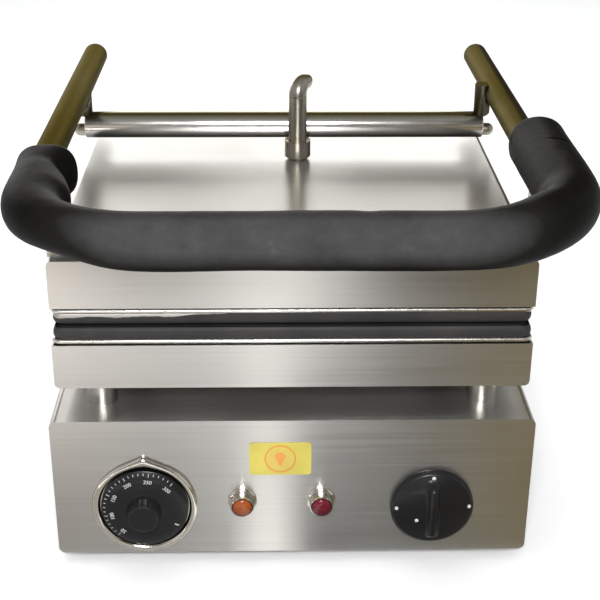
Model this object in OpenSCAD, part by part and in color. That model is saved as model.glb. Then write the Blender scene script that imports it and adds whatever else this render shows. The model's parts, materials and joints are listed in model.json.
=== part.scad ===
// Electric waffle cone maker: a box-shaped base with its controls, a grill box on four pillars,
// and a heated lid that a padded U-shaped handle lifts about a rear hinge. Millimetres, +Z up,
// front towards -Y. Every piece is drawn from the front lower edge of the base case, then moved
// so that the origin is under the middle of the whole object, on the surface that it stands on.

/* [Base case] */
// Width of the base case
case_w = 350; // [320:1:400]
// Depth of the base case
case_d = 370; // [350:1:400]
// Height of the base case without its feet
case_h = 113; // [105:1:125]
// Thickness of the case sheet
case_sheet = 1.5; // [1:0.1:2]
// Radius of the long bends at the top of the case
case_bend_r = 5; // [3:0.5:8]
// Height of a rubber foot
foot_h = 8; // [6:0.5:12]
// Radius of a rubber foot
foot_r = 14; // [10:0.5:18]

/* [Grill box and lid] */
// Width of the grill box and of the lid
box_w = 342; // [320:1:346]
// Distance of the grill box behind the case front
box_y = 15; // [10:1:25]
// Depth of the grill box
box_d = 290; // [270:1:295]
// Height of the grill box shell
box_h = 34; // [30:1:40]
// Height of the lid shell
lid_h = 36; // [30:1:40]
// Thickness of the shells' sheet
shell_sheet = 1.2; // [1:0.1:1.5]
// Height of a pillar between the case and the grill box
pillar_h = 19.3; // [15:0.1:25]
// Radius of a pillar
pillar_r = 11; // [9:0.5:13]
// Thickness of a waffle plate
plate_t = 10.5; // [9:0.5:12]
// Gap between the closed waffle plates
plate_gap = 0.6; // [0.5:0.1:1]
// Radius of the round baking recess
bake_r = 112; // [90:1:125]
// Depth of the baking recess in each plate
bake_depth = 2.5; // [1.5:0.1:3]
// Thickness of a trim frame
trim_t = 3; // [2.5:0.1:3.5]

/* [Handle] */
// Outside radius of the handle tube
tube_r = 10.6; // [9:0.1:11]
// Wall of the handle tube
tube_wall = 1.5; // [1:0.1:2]
// Distance of each handle leg from the middle plane
leg_x = 176; // [174:0.5:180]
// Height of the handle above the underside of the case
handle_z = 282; // [278:1:290]
// Distance of the front bar in front of the case
bar_reach = 71.5; // [60:0.5:80]
// Centreline radius of the two handle bends
bend_r = 75; // [65:1:80]
// Distance of the legs' rear ends behind the case front
leg_end_y = 383; // [375:1:425]
// Outside radius of the foam on the front bar
foam_r = 17.7; // [16:0.1:19]
// Outside radius of the foam on the legs
foam_leg_r = 20.5; // [18:0.1:21]
// Where the foam ends on the left leg, behind the case front
foam_end_left = 62; // [60:1:160]
// Where the foam ends on the right leg, behind the case front
foam_end_right = 122; // [80:1:180]
// Outside radius of the crossbar
crossbar_r = 11; // [10:0.1:12]
// Distance of the crossbar behind the case front
crossbar_y = 255; // [250:1:260]
// Height of the crossbar above the underside of the case
crossbar_z = 254; // [252:1:256]

/* [Controls] */
// Sideways position of the thermostat
thermo_x = -109; // [-115:1:-100]
// Height of the thermostat and selector axes
control_z = 42; // [40:1:46]
// Radius of the thermostat dial
dial_r = 32; // [28:0.5:33]
// Outside radius of the chrome bezel round the dial
bezel_r = 39; // [37:0.5:40]
// Sideways position of the selector knob
selector_x = 102.5; // [95:0.5:110]
// Radius of the selector knob
selector_r = 30.6; // [25:0.1:32]
// Middle between the two lamps
lamp_mid_x = -8.3; // [-12:0.1:0]
// Distance between the two lamps
lamp_pitch = 58; // [50:1:62]
// Height of the lamp axes
lamp_z = 45.5; // [42:0.5:50]
// Width of the badge plate
badge_w = 45; // [40:1:50]
// Height of the badge plate
badge_h = 27; // [22:1:30]

/* [Hidden] */
$fn = 64;

// Overrun of a cut past the face that it opens
cut = 1;
// Radial gap of a turning shaft in its bush
run_fit = 0.05;
left = -1;
right = 1;

// Heights of the stack, from the top of the case to the top of the lid
box_z = case_h + pillar_h;
lower_trim_z = box_z + box_h;
lower_plate_z = lower_trim_z + trim_t;
upper_plate_z = lower_plate_z + plate_t + plate_gap;
upper_trim_z = upper_plate_z + plate_t;
lid_z = upper_trim_z + trim_t;
lid_top_z = lid_z + lid_h;
box_rear_y = box_y + box_d;
lid_y = box_y + 3;
lid_d = box_rear_y - lid_y;
shell_bend_r = 4;

// The plates stand a little inside the shells
plate_inset = 1;
plate_w = box_w - 2 * plate_inset;
plate_corner_r = 6;
trim_rim = 14;

// The hinge axis lies behind the grill box, level with the gap between the plates
hinge_y = box_rear_y + 14;
hinge_z = upper_plate_z - plate_gap / 2;
hinge_x = 100;
hinge_pin_r = 4;
hinge_eye_r = 7;
hinge_arm_w = 10;
hinge_ear_w = 3;
hinge_gap = 0.4;
hinge_leaf_t = 3;
hinge_leaf_h = 26;
hinge_ear_x = hinge_arm_w / 2 + hinge_gap;
hinge_w = 2 * (hinge_ear_x + hinge_ear_w);

// Positions of the feet and pillars
foot_x = 140;
foot_inset_y = 38;
foot_ys = [foot_inset_y, case_d - foot_inset_y];
pillar_x = 140;
pillar_ys = [box_y + 19.5, box_rear_y - 20];
screw_r = 2.5;
screw_head_r = 4.5;
screw_head_h = 3;
screw_len = 14;

// The handle's centreline and where the whole object starts and ends
bar_y = -bar_reach;
bend_y = bar_y + bend_r;
bend_x = leg_x - bend_r;
cap_len = 4;
tube_end_y = leg_end_y - cap_len;
front_y = bar_y - foam_r;
origin_y = (front_y + leg_end_y) / 2;

// Heating elements
element_r = 3.25;
element_pitch = 70;
element_front_y = 75;
element_rear_y = 245;
element_end_y = 285;
element_gap = 0.2;
element_xs = [-1.5, -0.5, 0.5, 1.5];

module placed() {
    translate([0, -origin_y, foot_h])
        children();
}

// A solid cylinder whose axis runs towards +Y from the given point
module along_y(x, y, z, r, len) {
    translate([x, y, z])
        rotate([-90, 0, 0])
            cylinder(r = r, h = len);
}

// A solid cylinder whose axis runs towards +X from the given point
module along_x(x, y, z, r, len) {
    translate([x, y, z])
        rotate([0, 90, 0])
            cylinder(r = r, h = len);
}

// A profile drawn as the front shows it, x to the right and y up, that runs towards +Y
module front_extrude(x, y, z, len) {
    translate([x, y + len, z])
        rotate([90, 0, 0])
            linear_extrude(height = len)
                children();
}

// A rectangle centred on x = 0 that stands on y = 0, with round corners
module round_rect(w, h, r) {
    translate([-w / 2 + r, 0])
        square([w - 2 * r, h]);
    translate([-w / 2, r])
        square([w, h - 2 * r]);
    for (x = [-w / 2 + r, w / 2 - r])
        for (y = [r, h - r])
            translate([x, y])
                circle(r = r);
}

// The same rectangle with only its upper corners round
module round_top(w, h, r) {
    round_rect(w, h, r);
    translate([-w / 2, 0])
        square([w, h - r]);
}

// A flat slab with round corners in plan, from y0 to y0 + d
module slab(w, d, t, r, y0, z0) {
    translate([0, y0, z0])
        linear_extrude(height = t)
            round_rect(w, d, r);
}

// Base case --------------------------------------------------------------------------------

flange_w = 16;
gland_x = 120;
gland_z = 34;
gland_r = 8;
wire_hole_r = 9;
wire_hole_y = 270;
panel_bush_r = 5.5;
lamp_hole_r = 7.6;
lamp_xs = [lamp_mid_x - lamp_pitch / 2, lamp_mid_x + lamp_pitch / 2];

module case_hollow() {
    front_extrude(0, case_sheet, case_sheet, case_d - 2 * case_sheet)
        round_rect(case_w - 2 * case_sheet, case_h - 2 * case_sheet, case_bend_r - case_sheet);
    translate([-case_w / 2 + flange_w, flange_w, -cut])
        cube([case_w - 2 * flange_w, case_d - 2 * flange_w, case_sheet + 2 * cut]);
}

module panel_holes() {
    for (x = [thermo_x, selector_x])
        along_y(x, -cut, control_z, panel_bush_r, case_sheet + 2 * cut);
    for (x = lamp_xs)
        along_y(x, -cut, lamp_z, lamp_hole_r, case_sheet + 2 * cut);
}

module at_pillars(z) {
    for (x = [-pillar_x, pillar_x])
        for (y = pillar_ys)
            translate([x, y, z])
                children();
}

module at_feet(z) {
    for (x = [-foot_x, foot_x])
        for (y = foot_ys)
            translate([x, y, z])
                children();
}

module base_case() {
    color([0.78, 0.77, 0.74])
        placed()
            difference() {
                front_extrude(0, 0, 0, case_d)
                    round_rect(case_w, case_h, case_bend_r);
                case_hollow();
                panel_holes();
                along_y(gland_x, case_d - case_sheet - cut, gland_z, gland_r,
                        case_sheet + 2 * cut);
                translate([0, wire_hole_y, case_h - case_sheet - cut])
                    cylinder(r = wire_hole_r, h = case_sheet + 2 * cut);
                at_pillars(case_h - case_sheet - cut)
                    cylinder(r = screw_r, h = case_sheet + 2 * cut);
                at_feet(-cut)
                    cylinder(r = screw_r, h = case_sheet + 2 * cut);
            }
}

cover_inset = 6;
cover_t = 1.2;
vent_count = 9;
vent_pitch = 16;
vent_w = 6;
vent_len = 120;

module bottom_cover() {
    color([0.7, 0.7, 0.68])
        placed()
            difference() {
                slab(case_w - 2 * cover_inset, case_d - 2 * cover_inset, cover_t,
                     cover_inset, cover_inset, -cover_t);
                for (i = [0 : vent_count - 1])
                    translate([(i - (vent_count - 1) / 2) * vent_pitch - vent_w / 2,
                               (case_d - vent_len) / 2, -cover_t - cut])
                        cube([vent_w, vent_len, cover_t + 2 * cut]);
                at_feet(-cover_t - cut)
                    cylinder(r = screw_r, h = cover_t + 2 * cut);
            }
}

foot_recess_r = 6;
foot_recess_h = 4;

module foot(side, y) {
    color([0.08, 0.08, 0.08])
        placed()
            translate([side * foot_x, y, -foot_h])
                difference() {
                    cylinder(r1 = foot_r - 1, r2 = foot_r, h = foot_h - cover_t);
                    translate([0, 0, -cut])
                        cylinder(r = foot_recess_r, h = foot_recess_h + cut);
                    translate([0, 0, foot_recess_h - cut])
                        cylinder(r = screw_r, h = foot_h);
                }
}

module foot_front_left() { foot(left, foot_ys[0]); }
module foot_front_right() { foot(right, foot_ys[0]); }
module foot_rear_left() { foot(left, foot_ys[1]); }
module foot_rear_right() { foot(right, foot_ys[1]); }

module pan_screw(len) {
    cylinder(r = screw_r, h = len);
    translate([0, 0, -screw_head_h])
        cylinder(r = screw_head_r, h = screw_head_h);
}

module foot_screws() {
    color([0.6, 0.6, 0.62])
        placed()
            at_feet(-foot_h + foot_recess_h)
                pan_screw(screw_len);
}

// Pillars ----------------------------------------------------------------------------------

thread_depth = 8;

module pillar(side, y) {
    color([0.75, 0.75, 0.74])
        placed()
            translate([side * pillar_x, y, case_h])
                difference() {
                    cylinder(r = pillar_r, h = pillar_h);
                    translate([0, 0, -cut])
                        cylinder(r = screw_r, h = thread_depth + cut);
                    translate([0, 0, pillar_h - thread_depth])
                        cylinder(r = screw_r, h = thread_depth + cut);
                }
}

module pillar_front_left() { pillar(left, pillar_ys[0]); }
module pillar_front_right() { pillar(right, pillar_ys[0]); }
module pillar_rear_left() { pillar(left, pillar_ys[1]); }
module pillar_rear_right() { pillar(right, pillar_ys[1]); }

module pillar_screws() {
    color([0.6, 0.6, 0.62])
        placed() {
            at_pillars(case_h - case_sheet)
                pan_screw(thread_depth);
            at_pillars(box_z + shell_sheet)
                mirror([0, 0, 1])
                    pan_screw(thread_depth);
        }
}

// Supply entry -----------------------------------------------------------------------------

gland_flange_r = 13;
gland_flange_t = 5;
gland_nose_r = 10;
gland_nose_len = 14;
gland_bore_r = 4;
gland_thread_len = 14;
gland_nut_r = 13;
gland_nut_t = 5;

module cable_gland() {
    color([0.1, 0.1, 0.1])
        placed()
            difference() {
                union() {
                    along_y(gland_x, case_d - gland_thread_len, gland_z, gland_r,
                            gland_thread_len);
                    along_y(gland_x, case_d, gland_z, gland_flange_r, gland_flange_t);
                    along_y(gland_x, case_d + gland_flange_t, gland_z, gland_nose_r,
                            gland_nose_len - gland_flange_t);
                }
                along_y(gland_x, case_d - gland_thread_len - cut, gland_z, gland_bore_r,
                        gland_thread_len + gland_nose_len + 2 * cut);
            }
}

module gland_nut() {
    color([0.1, 0.1, 0.1])
        placed()
            difference() {
                translate([gland_x, case_d - case_sheet, gland_z])
                    rotate([90, 0, 0])
                        cylinder(r = gland_nut_r, h = gland_nut_t, $fn = 6);
                along_y(gland_x, case_d - case_sheet - gland_nut_t - cut, gland_z, gland_r,
                        gland_nut_t + 2 * cut);
            }
}

terminal_w = 60;
terminal_d = 20;
terminal_h = 18;
terminal_y = 300;
terminal_ways = 4;
terminal_screw_r = 3;

module terminal_block() {
    color([0.9, 0.9, 0.86])
        placed()
            translate([0, terminal_y, case_h - case_sheet - terminal_h])
                difference() {
                    translate([-terminal_w / 2, 0, 0])
                        cube([terminal_w, terminal_d, terminal_h]);
                    for (i = [0 : terminal_ways - 1])
                        translate([(i - (terminal_ways - 1) / 2) * terminal_w / terminal_ways,
                                   terminal_d / 2, -cut])
                            cylinder(r = terminal_screw_r, h = terminal_h / 2);
                }
}

// Thermostat -------------------------------------------------------------------------------

spindle_r = 3;
bush_r = 5;
bezel_plate_t = 1.2;
bezel_rim_h = 4.5;
bezel_rim_inner_r = 33;
bezel_tip = 43;
bezel_hole_r = 7;
dial_back = 2.4;
dial_skirt = 6;
dial_grip_r = 12;
dial_grip_front = 19;
thermo_body_w = 46;
thermo_body_h = 34;
thermo_body_d = 36;
thermo_bush_front = 2;

// A switch body behind the panel with a bush through it and a bore for its spindle
module control_body(x, w, h, d) {
    difference() {
        union() {
            translate([x - w / 2, case_sheet, control_z - h / 2])
                cube([w, d, h]);
            along_y(x, -thermo_bush_front, control_z, bush_r, thermo_bush_front + case_sheet + cut);
        }
        along_y(x, -thermo_bush_front - cut, control_z, spindle_r + run_fit,
                thermo_bush_front + d / 2 + cut);
    }
}

module thermostat_body() {
    color([0.75, 0.75, 0.76])
        placed()
            control_body(thermo_x, thermo_body_w, thermo_body_h, thermo_body_d);
}

// Round outline with a blunt point on top, where two tangents meet
module teardrop(r, tip) {
    touch = acos(r / tip);
    circle(r = r);
    polygon([[0, tip], [-r * sin(touch), r * cos(touch)], [r * sin(touch), r * cos(touch)]]);
}

module thermostat_bezel() {
    color([0.85, 0.85, 0.86])
        placed()
            difference() {
                front_extrude(thermo_x, -bezel_rim_h, control_z, bezel_rim_h)
                    teardrop(bezel_r, bezel_tip);
                along_y(thermo_x, -bezel_rim_h - cut, control_z, bezel_rim_inner_r,
                        bezel_rim_h + cut - bezel_plate_t);
                along_y(thermo_x, -bezel_rim_h, control_z, bezel_hole_r, bezel_rim_h + cut);
            }
}

module spindle(x, front, body_d) {
    color([0.7, 0.7, 0.72])
        placed()
            along_y(x, -front, control_z, spindle_r, front + body_d / 2 - cut);
}

spindle_front = 12;

module thermostat_spindle() { spindle(thermo_x, spindle_front, thermo_body_d); }

module thermostat_dial() {
    color([0.05, 0.05, 0.05])
        placed()
            translate([thermo_x, -dial_back, control_z])
                rotate([90, 0, 0])
                    difference() {
                        union() {
                            cylinder(r = dial_r, h = 2);
                            translate([0, 0, 2])
                                cylinder(r1 = dial_r, r2 = dial_r - 3, h = dial_skirt - 2);
                            cylinder(r = dial_grip_r, h = dial_grip_front - dial_back);
                        }
                        translate([0, 0, -cut])
                            cylinder(r = spindle_r, h = spindle_front - dial_back + cut);
                    }
}

bulb_r = 3;
bulb_y = 110;
bulb_len = 90;

module sensing_bulb() {
    color([0.72, 0.45, 0.3])
        placed()
            along_y(0, bulb_y, lower_plate_z - bulb_r, bulb_r, bulb_len);
}

// Selector ---------------------------------------------------------------------------------

selector_body_w = 38;
selector_body_h = 38;
selector_body_d = 42;
knob_back = 1.4;
knob_rim = 5;
knob_dome = 7;
knob_ridge_w = 8;
knob_ridge_len = 50;
knob_ridge_h = 6;

module selector_body() {
    color([0.85, 0.84, 0.8])
        placed()
            control_body(selector_x, selector_body_w, selector_body_h, selector_body_d);
}

module selector_spindle() { spindle(selector_x, spindle_front, selector_body_d); }

module selector_knob() {
    dome_r = (selector_r * selector_r + knob_dome * knob_dome) / (2 * knob_dome);
    ridge_top = knob_rim + knob_dome + knob_ridge_h;
    bush_len = thermo_bush_front - knob_back + cut;
    color([0.04, 0.04, 0.04])
        placed()
            translate([selector_x, -knob_back, control_z])
                rotate([90, 0, 0])
                    difference() {
                        union() {
                            cylinder(r = selector_r, h = knob_rim);
                            intersection() {
                                translate([0, 0, knob_rim + knob_dome - dome_r])
                                    sphere(r = dome_r);
                                cylinder(r = selector_r, h = knob_rim + knob_dome);
                            }
                            translate([-knob_ridge_w / 2, -knob_ridge_len / 2, knob_rim])
                                cube([knob_ridge_w, knob_ridge_len, ridge_top - knob_rim]);
                        }
                        translate([0, 0, -cut])
                            cylinder(r = spindle_r, h = spindle_front - knob_back + cut);
                        translate([0, 0, -cut])
                            cylinder(r = bezel_hole_r, h = bush_len + cut);
                    }
}

// Lamps and badge --------------------------------------------------------------------------

lamp_flange_r = 10.6;
lamp_flange_t = 2;
lamp_nose_r = 8.6;
lamp_front = 10;
lamp_bore_r = 6.9;
lamp_barrel_len = 12;
lens_front = 13;
lens_back = 2;
neon_r = 5;
neon_len = 26;
neon_rim_r = 9;
neon_rim_t = 3;

module lamp_bezel(i) {
    color([0.85, 0.85, 0.86])
        placed()
            translate([lamp_xs[i], 0, lamp_z])
                rotate([90, 0, 0])
                    difference() {
                        union() {
                            cylinder(r = lamp_flange_r, h = lamp_flange_t);
                            translate([0, 0, lamp_flange_t])
                                cylinder(r1 = lamp_flange_r - 0.6, r2 = lamp_nose_r,
                                         h = lamp_front - lamp_flange_t);
                            translate([0, 0, -lamp_barrel_len])
                                cylinder(r = lamp_hole_r, h = lamp_barrel_len);
                        }
                        translate([0, 0, -lamp_barrel_len - cut])
                            cylinder(r = lamp_bore_r,
                                     h = lamp_barrel_len + lamp_front + 2 * cut);
                    }
}

module lamp_bezel_left() { lamp_bezel(0); }
module lamp_bezel_right() { lamp_bezel(1); }

module lamp_lens(i, tint) {
    dome = lens_front - lamp_front;
    dome_r = (lamp_bore_r * lamp_bore_r + dome * dome) / (2 * dome);
    color(tint)
        placed()
            translate([lamp_xs[i], 0, lamp_z])
                rotate([90, 0, 0])
                    union() {
                        translate([0, 0, lens_back])
                            cylinder(r = lamp_bore_r, h = lamp_front - lens_back);
                        intersection() {
                            translate([0, 0, lens_front - dome_r])
                                sphere(r = dome_r);
                            translate([0, 0, lamp_front])
                                cylinder(r = lamp_bore_r, h = dome);
                        }
                    }
}

module lamp_lens_left() { lamp_lens(0, [0.9, 0.4, 0.05]); }
module lamp_lens_right() { lamp_lens(1, [0.5, 0.04, 0.03]); }

module lamp_neon(i) {
    color([0.92, 0.9, 0.85])
        placed() {
            along_y(lamp_xs[i], 0, lamp_z, neon_r, neon_len);
            along_y(lamp_xs[i], lamp_barrel_len, lamp_z, neon_rim_r, neon_rim_t);
        }
}

module lamp_neon_left() { lamp_neon(0); }
module lamp_neon_right() { lamp_neon(1); }

badge_x = -9.4;
badge_z = 81.5;
badge_t = 0.8;
badge_corner_r = 2.5;

module badge() {
    color([0.95, 0.78, 0.15])
        placed()
            front_extrude(badge_x, -badge_t, badge_z - badge_h / 2, badge_t)
                round_rect(badge_w, badge_h, badge_corner_r);
}

// Grill box --------------------------------------------------------------------------------

module lower_shell() {
    color([0.78, 0.77, 0.74])
        placed()
            difference() {
                front_extrude(0, box_y, box_z + box_h, box_d)
                    mirror([0, 1])
                        round_top(box_w, box_h, shell_bend_r);
                front_extrude(0, box_y + shell_sheet, box_z + box_h + cut,
                              box_d - 2 * shell_sheet)
                    mirror([0, 1])
                        round_top(box_w - 2 * shell_sheet, box_h - shell_sheet + cut,
                                  shell_bend_r - shell_sheet);
                at_pillars(box_z - cut)
                    cylinder(r = screw_r, h = shell_sheet + 2 * cut);
                translate([0, wire_hole_y, box_z - cut])
                    cylinder(r = wire_hole_r, h = shell_sheet + 2 * cut);
            }
}

pad_gap = 5;
pad_h = 18;

module lower_insulation() {
    color([0.85, 0.82, 0.72])
        placed()
            difference() {
                slab(box_w - 2 * pad_gap, box_d - 2 * pad_gap, pad_h, pad_gap,
                     box_y + pad_gap, box_z + shell_sheet);
                at_pillars(box_z)
                    cylinder(r = screw_head_r + 1, h = pad_h + pad_gap);
                translate([0, wire_hole_y, box_z])
                    cylinder(r = wire_hole_r, h = pad_h + pad_gap);
            }
}

// A tubular element of four legs and three return bends, with both ends at the rear
module element(z) {
    r_bend = element_pitch / 2;
    for (k = element_xs)
        along_y(k * element_pitch, element_front_y, z, element_r,
                (abs(k) > 1 ? element_end_y : element_rear_y) - element_front_y);
    for (side = [left, right])
        translate([side * element_pitch, element_front_y, z])
            rotate([0, 0, 180])
                rotate_extrude(angle = 180)
                    translate([r_bend, 0])
                        circle(r = element_r);
    translate([0, element_rear_y, z])
        rotate_extrude(angle = 180)
            translate([r_bend, 0])
                circle(r = element_r);
}

module lower_heater() {
    color([0.35, 0.33, 0.32])
        placed()
            element(lower_plate_z - element_r - element_gap);
}

module trim_frame(y, d, z) {
    difference() {
        slab(box_w, d, trim_t, shell_bend_r, y, z);
        slab(box_w - 2 * trim_rim, d - 2 * trim_rim, trim_t + 2 * cut, shell_bend_r,
             y + trim_rim, z - cut);
    }
}

module lower_frame() {
    color([0.82, 0.81, 0.79])
        placed()
            trim_frame(box_y, box_d, lower_trim_z);
}

bake_y = lid_y + lid_d / 2;

module waffle_plate(y, d, z, recess_z) {
    difference() {
        slab(plate_w, d, plate_t, plate_corner_r, y, z);
        translate([0, bake_y, recess_z])
            cylinder(r = bake_r, h = bake_depth + cut);
    }
}

module lower_plate() {
    color([0.13, 0.12, 0.11])
        placed()
            waffle_plate(box_y + plate_inset, box_d - 2 * plate_inset, lower_plate_z,
                         lower_plate_z + plate_t - bake_depth);
}

// Hinge ------------------------------------------------------------------------------------

// A side view drawn as (distance behind the hinge axis, height above it), made w wide about x
module hinge_side(x, w) {
    translate([x - w / 2, hinge_y, hinge_z])
        rotate([90, 0, 90])
            linear_extrude(height = w)
                children();
}

module hinge_bore(x, r) {
    along_x(x - hinge_w, hinge_y, hinge_z, r, 2 * hinge_w);
}

// An eye round the axis that widens to the leaf on the wall, up to dz above or below the axis
module eye_profile(near_z, far_z) {
    wall = box_rear_y - hinge_y;
    circle(r = hinge_eye_r);
    polygon([[hinge_eye_r, 0], [wall + hinge_leaf_t, far_z], [wall, far_z],
             [wall, near_z], [-hinge_eye_r, 0]]);
}

module hinge_bracket(side) {
    x = side * hinge_x;
    top = lower_trim_z - hinge_z - cut;
    color([0.7, 0.7, 0.7])
        placed()
            difference() {
                union() {
                    for (ear = [left, right])
                        hinge_side(x + ear * (hinge_ear_x + hinge_ear_w / 2), hinge_ear_w)
                            eye_profile(top, top - hinge_leaf_h);
                    translate([x - hinge_w / 2, box_rear_y, hinge_z + top - hinge_leaf_h])
                        cube([hinge_w, hinge_leaf_t, hinge_leaf_h]);
                }
                hinge_bore(x, hinge_pin_r);
            }
}

module hinge_bracket_left() { hinge_bracket(left); }
module hinge_bracket_right() { hinge_bracket(right); }

module hinge_pin() {
    overhang = hinge_w / 2 + 2;
    color([0.65, 0.65, 0.66])
        placed()
            along_x(-hinge_x - overhang, hinge_y, hinge_z, hinge_pin_r,
                    2 * (hinge_x + overhang));
}

module hinge_arm(side) {
    x = side * hinge_x;
    bottom = lid_z - hinge_z + cut;
    color([0.7, 0.7, 0.7])
        placed()
            difference() {
                union() {
                    hinge_side(x, hinge_arm_w)
                        eye_profile(bottom, bottom + hinge_leaf_h);
                    translate([x - hinge_w / 2, box_rear_y, hinge_z + bottom])
                        cube([hinge_w, hinge_leaf_t, hinge_leaf_h]);
                }
                hinge_bore(x, hinge_pin_r + run_fit);
            }
}

module hinge_arm_left() { hinge_arm(left); }
module hinge_arm_right() { hinge_arm(right); }

// Lid --------------------------------------------------------------------------------------

post_x = 7.6;
post_r = 7.5;
post_bore_r = 6;
post_y = crossbar_y - crossbar_r - post_r;

module lid_shell() {
    color([0.78, 0.77, 0.74])
        placed()
            difference() {
                front_extrude(0, lid_y, lid_z, lid_d)
                    round_top(box_w, lid_h, shell_bend_r);
                front_extrude(0, lid_y + shell_sheet, lid_z - cut, lid_d - 2 * shell_sheet)
                    round_top(box_w - 2 * shell_sheet, lid_h - shell_sheet + cut,
                              shell_bend_r - shell_sheet);
                translate([post_x, post_y, lid_top_z - shell_sheet - cut])
                    cylinder(r = post_r, h = shell_sheet + 2 * cut);
                at_brackets(lid_top_z - shell_sheet - cut)
                    cylinder(r = screw_r, h = shell_sheet + 2 * cut);
            }
}

upper_pad_h = 14;

module upper_insulation() {
    color([0.85, 0.82, 0.72])
        placed()
            difference() {
                slab(box_w - 2 * pad_gap, lid_d - 2 * pad_gap, upper_pad_h, pad_gap,
                     lid_y + pad_gap, lid_top_z - shell_sheet - upper_pad_h);
                translate([post_x, post_y, lid_z])
                    cylinder(r = post_r + 1, h = lid_h);
                at_brackets(lid_z)
                    cylinder(r = screw_head_r + 1, h = lid_h);
            }
}

module upper_heater() {
    color([0.35, 0.33, 0.32])
        placed()
            element(upper_trim_z + element_r + element_gap);
}

module upper_plate() {
    color([0.13, 0.12, 0.11])
        placed()
            waffle_plate(lid_y + plate_inset, lid_d - 2 * plate_inset, upper_plate_z,
                         upper_plate_z - cut);
}

module upper_frame() {
    color([0.82, 0.81, 0.79])
        placed()
            trim_frame(lid_y, lid_d, upper_trim_z);
}

// Handle -----------------------------------------------------------------------------------

// The handle's U shape at a given radius: the bar, two quarter bends and two legs
module handle_u(r_bar, r_leg, left_end, right_end) {
    along_x(-bend_x, bar_y, handle_z, r_bar, 2 * bend_x);
    for (side = [left, right])
        translate([side * bend_x, bend_y, handle_z])
            mirror([side < 0 ? 1 : 0, 0, 0])
                mirror([0, 1, 0])
                    rotate_extrude(angle = 90)
                        translate([bend_r, 0])
                            circle(r = r_bar);
    along_y(-leg_x, bend_y, handle_z, r_leg, left_end - bend_y);
    along_y(leg_x, bend_y, handle_z, r_leg, right_end - bend_y);
}

module handle_tube() {
    bore_r = tube_r - tube_wall;
    color([0.6, 0.58, 0.52])
        placed()
            difference() {
                handle_u(tube_r, tube_r, tube_end_y, tube_end_y);
                handle_u(bore_r, bore_r, tube_end_y + cut, tube_end_y + cut);
            }
}

cap_plug_len = 10;

module handle_cap(side) {
    cap_r = (tube_r * tube_r + cap_len * cap_len) / (2 * cap_len);
    color([0.6, 0.58, 0.52])
        placed() {
            along_y(side * leg_x, tube_end_y - cap_plug_len, handle_z, tube_r - tube_wall,
                    cap_plug_len);
            intersection() {
                translate([side * leg_x, leg_end_y - cap_r, handle_z])
                    sphere(r = cap_r);
                along_y(side * leg_x, tube_end_y, handle_z, tube_r, cap_len);
            }
        }
}

module handle_cap_left() { handle_cap(left); }
module handle_cap_right() { handle_cap(right); }

bracket_y = 26;
bracket_len = 30;
bracket_t = 4;
bracket_foot_w = 22;
bracket_web_x = box_w / 2 - bracket_t;
bracket_slot_gap = 0.5;
bracket_screw_inset = 7;

module at_brackets(z) {
    for (side = [left, right])
        for (y = [bracket_screw_inset, bracket_len - bracket_screw_inset])
            translate([side * (box_w / 2 - bracket_foot_w / 2 - bracket_t / 2),
                       bracket_y + y, z])
                children();
}

module foam_grip() {
    slot_w = bracket_t + 2 * bracket_slot_gap;
    color([0.03, 0.03, 0.03])
        placed()
            difference() {
                handle_u(foam_r, foam_leg_r, foam_end_left, foam_end_right);
                handle_u(tube_r, tube_r, foam_end_left + foam_end_right,
                         foam_end_left + foam_end_right);
                for (side = [left, right])
                    translate([side * (bracket_web_x + bracket_t / 2) - slot_w / 2,
                               bracket_y - bracket_slot_gap, handle_z - foam_leg_r - cut])
                        cube([slot_w, bracket_len + 2 * bracket_slot_gap, foam_leg_r + cut]);
            }
}

// An angle strap: its foot lies on the lid, its web is welded to the inner side of the tube
module handle_bracket(side) {
    color([0.72, 0.72, 0.7])
        placed()
            difference() {
                union() {
                    translate([side * (box_w / 2 - bracket_foot_w / 2) - bracket_foot_w / 2,
                               bracket_y, lid_top_z])
                        cube([bracket_foot_w, bracket_len, bracket_t]);
                    translate([side * (bracket_web_x + bracket_t / 2) - bracket_t / 2,
                               bracket_y, lid_top_z])
                        cube([bracket_t, bracket_len, handle_z - lid_top_z - bracket_t]);
                }
                along_y(side * leg_x, bracket_y - cut, handle_z, tube_r,
                        bracket_len + 2 * cut);
                at_brackets(lid_top_z - cut)
                    cylinder(r = screw_r, h = bracket_t + 2 * cut);
            }
}

module handle_bracket_left() { handle_bracket(left); }
module handle_bracket_right() { handle_bracket(right); }

module bracket_screws() {
    color([0.6, 0.6, 0.62])
        placed()
            at_brackets(lid_top_z + bracket_t)
                mirror([0, 0, 1])
                    pan_screw(bracket_t + thread_depth);
}

crossbar_len = 336;
crossbar_mid_x = -3;
crossbar_wall = 1.5;
tie_r = 4;
tie_drop = 4.3;
nut_r = 5.3;
nut_len = 10;
hanger_left_x = -171.5;
hanger_right_x = 164;
hanger_right_rise = 7;
hanger_r = 6.7;

module crossbar() {
    inner = crossbar_len - 2 * crossbar_wall;
    color([0.8, 0.79, 0.76])
        placed()
            difference() {
                along_x(crossbar_mid_x - crossbar_len / 2, crossbar_y, crossbar_z, crossbar_r,
                        crossbar_len);
                along_x(crossbar_mid_x - inner / 2, crossbar_y, crossbar_z,
                        crossbar_r - crossbar_wall, inner);
                along_x(crossbar_mid_x - crossbar_len / 2 - cut, crossbar_y,
                        crossbar_z - tie_drop, tie_r, crossbar_len + 2 * cut);
            }
}

module tie_rod() {
    len = crossbar_len + nut_len;
    color([0.7, 0.7, 0.7])
        placed()
            along_x(crossbar_mid_x - len / 2, crossbar_y, crossbar_z - tie_drop, tie_r, len);
}

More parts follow.
